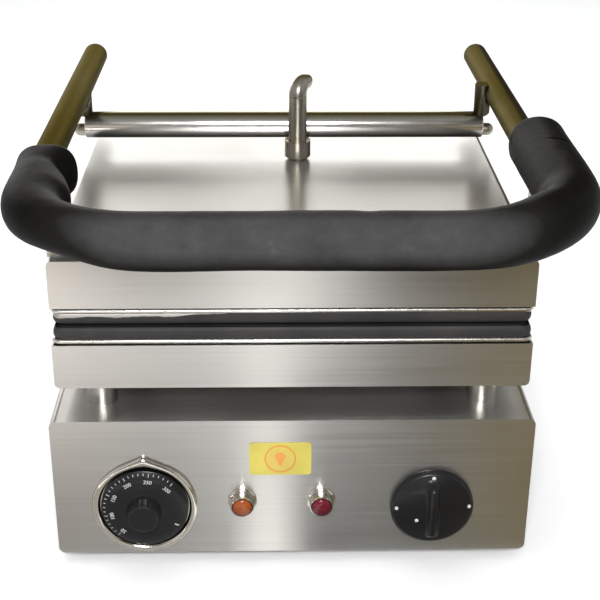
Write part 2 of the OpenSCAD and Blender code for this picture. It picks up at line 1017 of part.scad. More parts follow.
module dome_nuts() {
    barrel = nut_len - nut_r;
    color([0.75, 0.75, 0.73])
        placed()
            for (side = [left, right])
                translate([crossbar_mid_x + side * crossbar_len / 2, crossbar_y,
                           crossbar_z - tie_drop])
                    rotate([0, side * 90, 0])
                        difference() {
                            union() {
                                cylinder(r = nut_r, h = barrel);
                                translate([0, 0, barrel])
                                    sphere(r = nut_r);
                            }
                            translate([0, 0, -nut_r])
                                cylinder(r = tie_r, h = nut_r + nut_len / 2);
                            translate([0, 0, -2 * nut_r])
                                cylinder(r = nut_r + cut, h = 2 * nut_r);
                        }
}

module hanger(side, x, top) {
    color([0.75, 0.74, 0.7])
        placed()
            difference() {
                translate([x, crossbar_y, crossbar_z])
                    cylinder(r = hanger_r, h = top - crossbar_z);
                along_x(-leg_x - tube_r, crossbar_y, crossbar_z, crossbar_r,
                        2 * (leg_x + tube_r));
                along_y(side * leg_x, crossbar_y - 2 * hanger_r, handle_z, tube_r,
                        4 * hanger_r);
            }
}

module hanger_left() { hanger(left, hanger_left_x, handle_z); }
module hanger_right() { hanger(right, hanger_right_x, handle_z + hanger_right_rise); }

// Post -------------------------------------------------------------------------------------

collar_r = 10.8;
collar_h = 16.5;
post_foot_z = lid_top_z - 6;
post_joint_z = 284;
elbow_bend_r = 9.5;
elbow_angle = 75;
elbow_neck = 3;
elbow_socket_r = 6.9;
elbow_groove_h = 1.5;
elbow_overrun = 15;

module post_tube() {
    color([0.62, 0.6, 0.55])
        placed()
            translate([post_x, post_y, post_foot_z])
                difference() {
                    cylinder(r = post_r, h = post_joint_z - post_foot_z);
                    translate([0, 0, -cut])
                        cylinder(r = post_bore_r, h = post_joint_z - post_foot_z + 2 * cut);
                }
}

// A straight neck from the given height, then a bend towards +X
module elbow_path(r, start, angle) {
    translate([0, 0, start])
        cylinder(r = r, h = elbow_neck - start);
    translate([elbow_bend_r, 0, elbow_neck])
        mirror([1, 0, 0])
            rotate([90, 0, 0])
                rotate_extrude(angle = angle)
                    translate([elbow_bend_r, 0])
                        circle(r = r);
}

// The bent upper end of the post, parted from it by a narrow groove
module post_elbow() {
    color([0.62, 0.6, 0.55])
        placed()
            translate([post_x, post_y, post_joint_z])
                difference() {
                    elbow_path(post_r, 0, elbow_angle);
                    elbow_path(post_bore_r, -cut, elbow_angle + elbow_overrun);
                    difference() {
                        translate([0, 0, -cut])
                            cylinder(r = post_r + cut, h = elbow_groove_h + cut);
                        translate([0, 0, -2 * cut])
                            cylinder(r = elbow_socket_r, h = elbow_groove_h + 4 * cut);
                    }
                }
}

module post_collar() {
    color([0.66, 0.64, 0.6])
        placed()
            translate([post_x, post_y, lid_top_z])
                difference() {
                    union() {
                        cylinder(r1 = collar_r - 3, r2 = collar_r, h = 3);
                        translate([0, 0, 3])
                            cylinder(r = collar_r, h = collar_h - 3);
                    }
                    translate([0, 0, -cut])
                        cylinder(r = post_r, h = collar_h + 2 * cut);
                }
}

base_case();
bottom_cover();
foot_front_left();
foot_front_right();
foot_rear_left();
foot_rear_right();
foot_screws();
pillar_front_left();
pillar_front_right();
pillar_rear_left();
pillar_rear_right();
pillar_screws();
terminal_block();
cable_gland();
gland_nut();
thermostat_body();
thermostat_bezel();
sensing_bulb();
selector_body();
lamp_bezel_left();
lamp_bezel_right();
lamp_lens_left();
lamp_lens_right();
lamp_neon_left();
lamp_neon_right();
badge();
lower_shell();
lower_insulation();
lower_heater();
lower_plate();
lower_frame();
hinge_bracket_left();
hinge_bracket_right();
hinge_pin();
lid_shell();
upper_insulation();
upper_heater();
upper_plate();
upper_frame();
hinge_arm_left();
hinge_arm_right();
handle_tube();
handle_cap_left();
handle_cap_right();
foam_grip();
handle_bracket_left();
handle_bracket_right();
bracket_screws();
crossbar();
hanger_left();
hanger_right();
tie_rod();
dome_nuts();
post_tube();
post_elbow();
post_collar();
thermostat_spindle();
thermostat_dial();
selector_spindle();
selector_knob();
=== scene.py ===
"""Looks of an electric waffle cone maker: a brushed stainless base with its controls, and a
heated lid that a foam-covered handle lifts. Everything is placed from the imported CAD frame, in
metres."""

import json
import math

import bmesh
import bpy
from mathutils import Matrix, Vector, noise


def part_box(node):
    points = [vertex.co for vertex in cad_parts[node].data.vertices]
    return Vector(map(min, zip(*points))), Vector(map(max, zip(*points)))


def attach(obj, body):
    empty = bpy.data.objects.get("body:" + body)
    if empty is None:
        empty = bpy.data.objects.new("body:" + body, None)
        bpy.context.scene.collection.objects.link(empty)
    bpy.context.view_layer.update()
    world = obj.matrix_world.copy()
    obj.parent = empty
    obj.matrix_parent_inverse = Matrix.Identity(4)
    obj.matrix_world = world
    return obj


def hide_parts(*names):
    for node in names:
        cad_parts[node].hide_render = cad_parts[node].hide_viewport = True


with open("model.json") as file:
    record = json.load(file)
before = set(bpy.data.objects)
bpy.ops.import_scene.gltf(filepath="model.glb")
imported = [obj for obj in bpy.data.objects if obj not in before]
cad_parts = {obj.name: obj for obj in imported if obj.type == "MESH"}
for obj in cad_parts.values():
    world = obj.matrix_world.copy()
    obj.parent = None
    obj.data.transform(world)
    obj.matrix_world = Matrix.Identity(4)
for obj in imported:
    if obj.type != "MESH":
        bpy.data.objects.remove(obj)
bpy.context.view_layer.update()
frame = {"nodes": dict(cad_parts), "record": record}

MM = 0.001


# Camera -------------------------------------------------------------------------------------

def make_camera():
    """Looks down at the front from a little left of the middle."""
    place = Vector((-0.0179, -0.9449, 0.5905))
    pitch, yaw, roll = math.radians(25.1), math.radians(1.58), math.radians(0.42)
    forward = Vector((math.sin(yaw) * math.cos(pitch), math.cos(yaw) * math.cos(pitch),
                      -math.sin(pitch)))
    level = Vector((math.cos(yaw), -math.sin(yaw), 0))
    upright = level.cross(forward)
    right = level * math.cos(roll) + upright * math.sin(roll)
    up = right.cross(forward)
    data = bpy.data.cameras.new("camera")
    data.lens = 77.2
    data.sensor_width = 36
    data.clip_start = 0.05
    camera = bpy.data.objects.new("camera", data)
    rotation = Matrix((right, up, -forward)).transposed().to_4x4()
    camera.matrix_world = Matrix.Translation(place) @ rotation
    bpy.context.scene.collection.objects.link(camera)
    bpy.context.scene.camera = camera


# Materials ----------------------------------------------------------------------------------

class Nodes:
    """A new node material with short calls for the nodes that it uses."""

    def __init__(self, name, **values):
        self.material = bpy.data.materials.new(name)
        self.material.use_nodes = True
        self.tree = self.material.node_tree
        self.shader = self.tree.nodes["Principled BSDF"]
        for key, value in values.items():
            self.shader.inputs[key.replace("_", " ")].default_value = value

    def add(self, kind, **settings):
        node = self.tree.nodes.new(kind)
        for key, value in settings.items():
            setattr(node, key, value)
        return node

    def link(self, out, into):
        self.tree.links.new(out, into)

    def coords(self, scale):
        mapping = self.add("ShaderNodeMapping")
        mapping.inputs["Scale"].default_value = scale
        self.link(self.place(), mapping.inputs["Vector"])
        return mapping.outputs["Vector"]

    def noise(self, scale, detail=3.0, rough=0.5, stretch=(1, 1, 1)):
        node = self.add("ShaderNodeTexNoise")
        node.inputs["Scale"].default_value = scale
        node.inputs["Detail"].default_value = detail
        node.inputs["Roughness"].default_value = rough
        self.link(self.coords(stretch), node.inputs["Vector"])
        return node.outputs["Fac"]

    def ramp(self, fac, stops):
        node = self.add("ShaderNodeValToRGB")
        ramp = node.color_ramp
        while len(ramp.elements) < len(stops):
            ramp.elements.new(0.5)
        for element, (position, colour) in zip(ramp.elements, stops):
            element.position = position
            element.color = (*colour, 1)
        self.link(fac, node.inputs["Fac"])
        return node.outputs["Color"]

    def spread(self, fac, low=0.0, high=1.0, start=0.0, end=1.0, kind="LINEAR"):
        """Maps fac from start..end to low..high, and holds it there."""
        node = self.add("ShaderNodeMapRange", interpolation_type=kind)
        for key, value in (("From Min", start), ("From Max", end), ("To Min", low),
                           ("To Max", high)):
            node.inputs[key].default_value = value
        self.link(fac, node.inputs["Value"])
        return node.outputs["Result"]

    def place(self):
        return self.add("ShaderNodeTexCoord").outputs["Object"]

    def axis(self, name):
        axes = self.add("ShaderNodeSeparateXYZ")
        self.link(self.place(), axes.inputs[0])
        return axes.outputs[name]

    def math(self, operation, *values):
        """One calculation on sockets and plain numbers."""
        node = self.add("ShaderNodeMath", operation=operation)
        for socket, value in zip(node.inputs, values):
            if isinstance(value, float):
                socket.default_value = value
            else:
                self.link(value, socket)
        return node.outputs[0]

    def bump(self, height, strength, distance, under=None):
        node = self.add("ShaderNodeBump")
        node.inputs["Strength"].default_value = strength
        node.inputs["Distance"].default_value = distance
        self.link(height, node.inputs["Height"])
        if under is not None:
            self.link(under, node.inputs["Normal"])
        return node.outputs["Normal"]

    def to(self, out, socket):
        self.link(out, self.shader.inputs[socket])


def shade(colour, factor):
    return tuple(min(1, c * factor) for c in colour)


def brushed_steel(name, colour, grain=(6, 900, 900), rough=0.3, aniso=0.7):
    """Sheet with a fine grain along X: streaky colour and roughness, and highlights drawn out
    across the grain."""
    m = Nodes(name, Metallic=1.0, Anisotropic=aniso, Anisotropic_Rotation=0.25)
    streaks = m.noise(1.0, 4, 0.6, grain)
    stains = m.noise(9.0, 3, 0.5)
    m.to(m.ramp(streaks, [(0.3, shade(colour, 0.93)), (0.7, shade(colour, 1.05))]), "Base Color")
    m.to(m.math("MULTIPLY", m.spread(streaks, rough - 0.05, rough + 0.07),
                m.spread(stains, 0.85, 1.2)), "Roughness")
    m.to(m.bump(streaks, 0.12, 0.0002), "Normal")
    grain_way = m.add("ShaderNodeCombineXYZ")
    grain_way.inputs["X"].default_value = 1.0
    grain_way.inputs["Y"].default_value = 0.05
    m.to(grain_way.outputs[0], "Tangent")
    return m.material


def polished(name, colour, rough=0.08, smudge=0.1):
    """Bright plated or polished metal with faint handling marks."""
    m = Nodes(name, Metallic=1.0)
    marks = m.noise(60.0, 5, 0.6)
    m.to(m.ramp(marks, [(0.3, shade(colour, 0.96)), (0.75, shade(colour, 1.03))]), "Base Color")
    m.to(m.spread(marks, rough, rough + smudge), "Roughness")
    m.to(m.bump(marks, 0.03, 0.0002), "Normal")
    return m.material


def satin_tube(name, colour, rough=0.3):
    """Drawn tube: soft lines along its length and a warm, uneven tone."""
    m = Nodes(name, Metallic=1.0, Specular_Tint=(*shade(colour, 3.0), 1))
    lines = m.noise(1.0, 3, 0.5, (700, 20, 700))
    tone = m.noise(14.0, 3, 0.5)
    m.to(m.ramp(tone, [(0.3, shade(colour, 0.82)), (0.7, shade(colour, 1.15))]), "Base Color")
    m.to(m.spread(lines, rough - 0.04, rough + 0.1), "Roughness")
    m.to(m.bump(lines, 0.06, 0.0002), "Normal")
    return m.material


def painted_reflection_tube(name, colour, node):
    """Polished tube with painted reflection and shade: dark underneath and olive on top."""
    m = Nodes(name, Metallic=1.0, Specular_Tint=(0.8, 0.78, 0.72, 1))
    low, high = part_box(node)
    marks = m.noise(40.0, 5, 0.6)
    up = m.spread(m.axis("Z"), start=low.z, end=high.z)
    # Painted reflection and shade: the colour runs by height from dark underneath, through the plain
    # colour, to olive on top.
    m.to(m.ramp(up, [(0.08, shade(colour, 0.1)), (0.3, shade(colour, 0.45)), (0.45, colour),
                     (0.72, shade(colour, 0.8)), (0.92, (0.26, 0.245, 0.16))]), "Base Color")
    m.to(m.spread(marks, 0.16, 0.3), "Roughness")
    m.to(m.bump(marks, 0.03, 0.0002), "Normal")
    return m.material


def foam(name):
    """Closed-cell foam: matt black with fine pores, and a painted highlight: lighter grey along the
    front of the bar, which faces forward and up towards the key light, and darker away from it."""
    m = Nodes(name, Specular_IOR_Level=0.03)
    pores = m.noise(2600.0, 2, 0.6)
    dents = m.noise(150.0, 4, 0.55)
    rub = m.noise(30.0, 6, 0.75)
    lit_side = Vector((0, -0.87, 0.5))
    away = m.add("ShaderNodeVectorMath", operation="DOT_PRODUCT")
    away.inputs[1].default_value = -lit_side
    m.link(m.place(), away.inputs[0])
    low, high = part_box("foam_grip")
    radius = (high.z - low.z) / 2
    bar = Vector((0, low.y + radius, high.z - radius))
    front = -lit_side.dot(bar) - 0.9 * radius
    # Painted highlight: lighter grey where the sleeve faces forward and up, darkest behind and below.
    wear_and_highlight = m.ramp(m.spread(away.outputs["Value"], start=front, end=front + 2 * radius),
                  [(0.0, (0.082, 0.081, 0.08)), (0.08, (0.055, 0.054, 0.053)),
                   (0.24, (0.0165, 0.016, 0.0145)), (0.6, (0.0075, 0.0072, 0.0058))])
    mottle = m.add("ShaderNodeMix", data_type="RGBA", blend_type="MULTIPLY")
    mottle.inputs["Factor"].default_value = 1.0
    m.link(wear_and_highlight, mottle.inputs["A"])
    m.link(m.ramp(rub, [(0.3, (0.42, 0.42, 0.42)), (0.6, (0.62, 0.62, 0.62)),
                        (0.8, (1.0, 1.0, 1.0))]), mottle.inputs["B"])
    m.to(mottle.outputs["Result"], "Base Color")
    m.to(m.spread(pores, 0.44, 0.58), "Roughness")
    m.to(m.bump(pores, 0.25, 0.0003, m.bump(dents, 0.1, 0.0008)), "Normal")
    return m.material


def cast_plate(name, bare=False):
    """Cast plate with a dark baked-on coat, browner and smoother where it is oiled. The coat of a
    worn plate ends short of its upper edge towards the left, where the bare metal shows."""
    m = Nodes(name, Specular_IOR_Level=0.22)
    grit = m.noise(900.0, 3, 0.6)
    oil = m.noise(22.0, 5, 0.6)
    coat = m.ramp(oil, [(0.3, (0.02, 0.0195, 0.02)), (0.7, (0.034, 0.032, 0.031))])
    if bare:
        coat = bare_edge(m, coat)
    m.to(coat, "Base Color")
    m.to(m.spread(oil, 0.62, 0.42), "Roughness")
    m.to(m.bump(grit, 0.25, 0.0003), "Normal")
    return m.material


def bare_edge(m, coat):
    """Mixes bare grey metal into the coat along the plate's upper left front edge."""
    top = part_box("upper_plate")[1].z
    ragged = m.noise(45.0, 4, 0.6)
    reach = m.spread(m.axis("X"), 4.2 * MM, 0.6 * MM, -110 * MM, -20 * MM, "SMOOTHSTEP")
    ragged_reach = m.math("MULTIPLY_ADD", ragged, 4 * MM, reach)
    below = m.math("SUBTRACT", top + 2 * MM, m.axis("Z"))
    shown = m.math("LESS_THAN", below, ragged_reach)
    mix = m.add("ShaderNodeMix", data_type="RGBA")
    mix.inputs["B"].default_value = (0.42, 0.41, 0.39, 1)
    m.link(shown, mix.inputs["Factor"])
    m.link(coat, mix.inputs["A"])
    m.to(shown, "Metallic")
    return mix.outputs["Result"]


def plastic(name, colour, rough, coat=0.0, peel=0.04, gloss=0.5):
    """Moulded plastic with a faint orange-peel skin."""
    m = Nodes(name, Coat_Weight=coat, Coat_Roughness=0.08, Specular_IOR_Level=gloss)
    skin = m.noise(500.0, 2, 0.5)
    wear_and_highlight = m.noise(40.0, 5, 0.6)
    m.to(m.ramp(wear_and_highlight, [(0.35, shade(colour, 0.9)), (0.8, shade(colour, 1.25))]), "Base Color")
    m.to(m.spread(wear_and_highlight, rough, rough + 0.12), "Roughness")
    m.to(m.bump(skin, peel, 0.0003), "Normal")
    return m.material


def coloured_lens(name, colour, middle, glow):
    """Tinted clear plastic over a dim lamp, lighter towards the middle where the lamp sits."""
    m = Nodes(name, Roughness=0.15, Specular_IOR_Level=0.3, Coat_Weight=0.25,
              Coat_Roughness=0.03, Emission_Strength=glow)
    facing = m.add("ShaderNodeLayerWeight")
    facing.inputs["Blend"].default_value = 0.35
    depth = m.noise(300.0, 2, 0.5)
    uneven = m.math("MULTIPLY_ADD", depth, 0.15, facing.outputs["Facing"])
    tint = m.ramp(uneven, [(0.1, middle), (0.45, colour), (0.9, shade(colour, 0.4))])
    m.to(tint, "Base Color")
    m.to(tint, "Emission Color")
    return m.material


def fibre(name, colour):
    """Loose mineral fibre."""
    m = Nodes(name, Roughness=0.95)
    strands = m.noise(1.0, 6, 0.7, (120, 700, 300))
    m.to(m.ramp(strands, [(0.3, shade(colour, 0.7)), (0.7, colour)]), "Base Color")
    m.to(m.bump(strands, 0.6, 0.001), "Normal")
    return m.material


STEEL = (0.53, 0.521, 0.502)
MATERIALS = {
    "stainless": brushed_steel("brushed_stainless", STEEL),
    "cover_steel": brushed_steel("mill_steel", (0.5, 0.49, 0.47), rough=0.38),
    "rubber": plastic("foot_rubber", (0.02, 0.02, 0.02), 0.75),
    "fasteners": polished("zinc_plate", (0.6, 0.6, 0.61), 0.25),
    "pillar_steel": polished("turned_steel", (0.5, 0.49, 0.46), 0.3),
    "black_nylon": plastic("black_nylon", (0.02, 0.02, 0.02), 0.5),
    "terminal_ceramic": plastic("steatite", (0.8, 0.78, 0.72), 0.4),
    "thermostat_case": polished("zinc_case", (0.62, 0.62, 0.62), 0.3),
    "bezel_chrome": polished("chrome_plate", (0.72, 0.69, 0.62), 0.1, 0.08),
    "bulb_copper": polished("drawn_copper", (0.72, 0.42, 0.27), 0.25),
    "lens_orange": coloured_lens("orange_lens", (0.07, 0.01, 0.003), (0.27, 0.06, 0.009), 0.04),
    "lens_red": coloured_lens("red_lens", (0.03, 0.002, 0.005), (0.12, 0.006, 0.015), 0.04),
    "neon": plastic("lamp_glass", (0.75, 0.7, 0.62), 0.1, 0.5),
    "badge": plastic("badge_yellow", (0.49, 0.41, 0.06), 0.4, 0.2),
    "insulation": fibre("mineral_fibre", (0.66, 0.6, 0.45)),
    "element": polished("heater_sheath", (0.2, 0.18, 0.165), 0.4),
    "plate_coating": cast_plate("baked_coating"),
    "hinge_steel": polished("hinge_steel", (0.52, 0.51, 0.49), 0.28),
    "tube_steel": satin_tube("satin_tube", (0.38, 0.35, 0.3)),
    "crossbar_steel": painted_reflection_tube("polished_tube", (0.72, 0.71, 0.69), "crossbar"),
    "foam": foam("black_foam"),
    "spindle_steel": polished("turned_spindle", (0.6, 0.6, 0.6), 0.2),
    "knob_black": plastic("black_phenolic", (0.007, 0.007, 0.008), 0.3, 0.12, gloss=0.25),
}
# Painted reflection: the handle tube, its caps and the hangers are steel given a dark olive base
# colour for the olive surroundings that they mirror.
LEG_STEEL = satin_tube("olive_reflection_leg_tube", (0.122, 0.112, 0.085), 0.42)
LIP_STEEL = polished("rolled_edge", (0.66, 0.65, 0.62), 0.22)
WORN_PLATE = cast_plate("worn_baked_coating", bare=True)
BADGE_ORANGE = plastic("badge_orange", (0.55, 0.23, 0.035), 0.4, 0.2)
BADGE_GOLD = plastic("badge_gold", (0.5, 0.36, 0.06), 0.4, 0.2)
DIAL_WHITE = plastic("dial_white", (0.5, 0.5, 0.5), 0.5)


# Making and placing pieces ------------------------------------------------------------------

BODY_OF = {node: body for body, nodes in frame["record"]["behaviour"]["bodies"].items()
           for node in nodes}
SLOT_OF = {part["node"]: part["material_slot"] for part in frame["record"]["subparts"]}


def smooth_by_angle(mesh, degrees=35):
    """Smooth faces, with creases kept sharp where faces meet at more than the angle."""
    for polygon in mesh.polygons:
        polygon.use_smooth = True
    mesh.set_sharp_from_angle(angle=math.radians(degrees))


def piece_from(bm, name, material, sharp=35):
    """The bmesh as a new object with one material."""
    bmesh.ops.recalc_face_normals(bm, faces=bm.faces)
    mesh = bpy.data.meshes.new(name)
    bm.to_mesh(mesh)
    bm.free()
    smooth_by_angle(mesh, sharp)
    mesh.materials.append(material)
    obj = bpy.data.objects.new(name, mesh)
    bpy.context.scene.collection.objects.link(obj)
    return obj


def stand_for(obj, node):
    """The piece takes the place of a CAD node, on its body."""
    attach(obj, BODY_OF[node])
    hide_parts(node)


def add_to(obj, body):
    """A detail with no CAD node of its own rides on the body."""
    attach(obj, body)


def middle(node):
    low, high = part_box(node)
    return (low + high) / 2


def ring_at(bm, centre, radius, front, segments):
    """A ring of vertices about centre in the XZ plane, moved to the front."""
    angles = [2 * math.pi * i / segments for i in range(segments)]
    return [bm.verts.new(centre + Vector((radius * math.cos(a), -front, radius * math.sin(a))))
            for a in angles]


def lathe(name, centre, profile, material, segments=96):
    """Turns (radius, height) points about an axis through centre. Height runs to the front."""
    bm = bmesh.new()
    rings = [ring_at(bm, centre, radius, height, segments) for radius, height in profile]
    for a, b in zip(rings, rings[1:]):
        bridge(bm, a, b)
    for ring in (rings[0], rings[-1]):
        bm.faces.new(ring)
    return piece_from(bm, name, material)


def bridge(bm, a, b):
    """Faces between two closed loops with as many vertices."""
    for i in range(len(a)):
        j = (i + 1) % len(a)
        bm.faces.new((a[i], a[j], b[j], b[i]))


def arc_points(cx, cy, radius, start, end, steps):
    """Points (x, y) along an arc in degrees."""
    return [(cx + radius * math.cos(math.radians(start + (end - start) * k / steps)),
             cy + radius * math.sin(math.radians(start + (end - start) * k / steps)))
            for k in range(steps + 1)]


# CAD nodes that keep their shape ------------------------------------------------------------

# Bevel widths in millimetres.
EDGE_ROUND = {
    "base_case": 1.1, "lower_shell": 0.9, "lid_shell": 0.9, "bottom_cover": 0.3, "crossbar": 1.2,
    "handle_bracket_left": 0.4, "handle_bracket_right": 0.4,
    "hinge_arm_left": 0.4, "hinge_arm_right": 0.4,
    "hinge_bracket_left": 0.4, "hinge_bracket_right": 0.4,
}

SPECIAL = {name: LEG_STEEL for name in ("handle_tube", "handle_cap_left", "handle_cap_right",
                                        "hanger_left", "hanger_right")}


def dress_cad_nodes():
    """Every CAD node takes its slot's material, and bent sheet and bars get rounded edges."""
    for name, node in frame["nodes"].items():
        node.data.materials.clear()
        node.data.materials.append(SPECIAL.get(name, MATERIALS[SLOT_OF[name]]))
        weld = node.modifiers.new("weld", "WELD")
        weld.merge_threshold = 0.01 * MM
        if name in EDGE_ROUND:
            bevel = node.modifiers.new("edge", "BEVEL")
            bevel.width = EDGE_ROUND[name] * MM
            bevel.segments = 3
            bevel.limit_method = "ANGLE"
            bevel.angle_limit = math.radians(40)
            bevel.harden_normals = False


# Foam grip ----------------------------------------------------------------------------------

class Handle:
    """The handle's centreline, read from the tube and foam boxes."""

    low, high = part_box("handle_tube")
    radius = (high.z - low.z) / 2
    z = (high.z + low.z) / 2
    leg_x = high.x - radius
    bar_y = low.y + radius
    bend = 75 * MM


def grip_ends():
    """How far back the foam reaches on the left and on the right leg."""
    points = [v.co for v in frame["nodes"]["foam_grip"].data.vertices]
    return (max(p.y for p in points if p.x < 0), max(p.y for p in points if p.x > 0))


def grip_path(step=1.3 * MM):
    """Distances, points and directions along the foam, from the left end round to the right."""
    left_end, right_end = grip_ends()
    corner_y = Handle.bar_y + Handle.bend
    corner_x = Handle.leg_x - Handle.bend
    arc = math.pi / 2 * Handle.bend
    runs = [left_end - corner_y, arc, 2 * corner_x, arc, right_end - corner_y]
    total = sum(runs)
    count = int(total / step)
    path = []
    for k in range(count + 1):
        s = total * k / count
        path.append((s, *grip_point(s, runs, left_end, corner_x, corner_y)))
    return path, runs, total


def grip_point(s, runs, left_end, corner_x, corner_y):
    """The centre and direction at distance s along the grip."""
    if s <= runs[0]:
        return Vector((-Handle.leg_x, left_end - s, Handle.z)), Vector((0, -1, 0))
    s -= runs[0]
    if s <= runs[1]:
        a = s / Handle.bend
        return (Vector((-corner_x - Handle.bend * math.cos(a),
                        corner_y - Handle.bend * math.sin(a), Handle.z)),
                Vector((math.sin(a), -math.cos(a), 0)))
    s -= runs[1]
    if s <= runs[2]:
        return Vector((-corner_x + s, Handle.bar_y, Handle.z)), Vector((1, 0, 0))
    s -= runs[2]
    if s <= runs[3]:
        a = s / Handle.bend
        return (Vector((corner_x + Handle.bend * math.sin(a),
                        corner_y - Handle.bend * math.cos(a), Handle.z)),
                Vector((math.cos(a), math.sin(a), 0)))
    s -= runs[3]
    return Vector((Handle.leg_x, corner_y + s, Handle.z)), Vector((0, 1, 0))


def bell(x, centre, width):
    return math.exp(-((x - centre) / width) ** 2)


def ease(x):
    x = max(0.0, min(1.0, x))
    return x * x * (3 - 2 * x)


class Foam:
    """Shape of the foam sleeve, as it sits after years of use."""

    bar_r = 18.4 * MM
    left_r = 19.8 * MM
    right_r = 21.6 * MM
    left_drift = 3.4 * MM
    right_drift = 7.2 * MM
    end_round = 8 * MM
    around = 96


def foam_bumps(s, angle, runs, total):
    """Height of the bulges, creases and scars at a place on the sleeve. Angle 180 degrees is the
    inner side of the handle, 90 degrees is up."""
    inner = max(0.0, -math.cos(angle)) ** 1.5
    upper = max(0.0, math.cos(angle - math.radians(125))) ** 3
    outer = max(0.0, math.cos(angle))
    bar = runs[0] + runs[1]
    outer_low = max(0.0, math.cos(angle + math.radians(35)))
    neck = runs[0] - 31 * MM
    # The left leg bulges at its end, narrows to a neck and swells again inside the bend.
    bumps = 3.6 * MM * bell(s, 2 * MM, 13 * MM) * inner
    bumps -= 5.4 * MM * bell(s, neck, 9 * MM) * max(inner, 0.25 * upper)
    bumps += 6.0 * MM * bell(s, neck + 37 * MM, 19 * MM) * inner
    bumps -= 6.0 * MM * bell(s, runs[0] + 0.6 * runs[1], 34 * MM) * outer_low
    # The right bend is creased on its inside and drawn flat on its outside.
    corner = total - runs[4] - 0.3 * runs[3]
    bumps -= 5.0 * MM * bell(s, corner, 11 * MM) * max(inner, 0.25 * upper)
    bumps -= 2.8 * MM * bell(s, corner - 8 * MM, 34 * MM) * outer
    # The bar has a shallow dent and a swelling on its front, and a dent on top.
    band = bar + 0.5 * runs[2] + 66 * MM
    front = max(0.0, math.cos(angle - math.radians(20)))
    bumps -= 0.55 * MM * bell(s, band, 5 * MM) * front
    bumps += 0.35 * MM * bell(s, band + 22 * MM, 14 * MM) * front
    bumps -= 0.5 * MM * bell(s, bar + 0.72 * runs[2], 6 * MM) * max(0.0, math.sin(angle))
    # Two short scars mark the top of the right leg.
    slit = total - 0.5 * runs[4]
    bumps -= 1.6 * MM * bell(s, slit, 1.4 * MM) * bell(angle, math.radians(78), 0.28)
    bumps -= 0.5 * MM * bell(s, slit - 24 * MM, 7 * MM) * bell(angle, math.radians(88), 0.14)
    return bumps


def foam_radius(s, angle, centre, runs, total):
    """Outside radius of the sleeve at distance s and at an angle round it."""
    bar_start, bar_end = runs[0] + runs[1], runs[0] + runs[1] + runs[2]
    left = 1 - ease((s - 0.5 * runs[0]) / (bar_start - 0.5 * runs[0]))
    right = ease((s - bar_end) / (0.8 * runs[3]))
    r = Foam.bar_r + (Foam.left_r - Foam.bar_r) * left + (Foam.right_r - Foam.bar_r) * right
    r += foam_bumps(s, angle, runs, total)
    boxy = 0.09 * bell(s, 0, 16 * MM) + 0.03 * bell(s, total, 16 * MM)
    r *= 1 + boxy * math.sin(2 * angle) ** 2
    low = max(0.0, -math.sin(angle))
    r += 0.6 * MM * low * (bell(s, bar_start + 4 * MM, 45 * MM) + bell(s, bar_end - 30 * MM, 45 * MM))
    spot = centre + Vector((math.cos(angle), s, math.sin(angle))) * Foam.left_r
    r += 0.4 * MM * noise.noise(spot * 22) + 0.1 * MM * noise.noise(spot * 140)
    edge = min(s, total - s)
    if edge < Foam.end_round:
        u = 1 - edge / Foam.end_round
        corner = min(Foam.end_round, r - Handle.radius)
        r -= corner * (1 - math.sqrt(max(0.0, 1 - u * u)))
    return r


def foam_drift(centre):
    """The sleeve sits off the tube's centre on the legs."""
    share = ease((centre.y - Handle.bar_y) / (1.1 * Handle.bend))
    return share * (Foam.right_drift if centre.x > 0 else Foam.left_drift)


def make_foam_grip():
    """A foam sleeve pushed round the bends: fatter on the legs, creased inside each bend."""
    path, runs, total = grip_path()
    bm = bmesh.new()
    outside, inside = [], []
    for s, centre, way in path:
        out = Vector((way.y, -way.x, 0))
        shift = Vector((foam_drift(centre), 0, 0))
        ring_out, ring_in = [], []
        for i in range(Foam.around):
            angle = 2 * math.pi * i / Foam.around
            ray = out * math.cos(angle) + Vector((0, 0, 1)) * math.sin(angle)
            r = foam_radius(s, angle, centre, runs, total)
            ring_out.append(bm.verts.new(centre + shift + ray * r))
            ring_in.append(bm.verts.new(centre + ray * Handle.radius))
        outside.append(ring_out)
        inside.append(ring_in)
    for rings in (outside, inside):
        for a, b in zip(rings, rings[1:]):
            bridge(bm, a, b)
    bridge(bm, outside[0], inside[0])
    bridge(bm, outside[-1], inside[-1])
    grip = piece_from(bm, "grip_sleeve", MATERIALS["foam"], 60)
    stand_for(grip, "foam_grip")


# Waffle plates ------------------------------------------------------------------------------

def waffle_height(x, y, bake_r):
    """How far the baking face lies below the rim: a round recess crossed by diamond grooves."""
    r = math.hypot(x, y)
    inside = ease((bake_r - r) / (2.5 * MM))
    pitch = 11 * MM
    u, v = (x + y) / math.sqrt(2), (x - y) / math.sqrt(2)
    ridge = 0.0
    for w in (u, v):
        d = abs((w / pitch) % 1 - 0.5) * 2
        ridge = max(ridge, ease((d - 0.62) / 0.3))
    return inside * (1.4 * MM + 1.5 * MM * (1 - ridge))


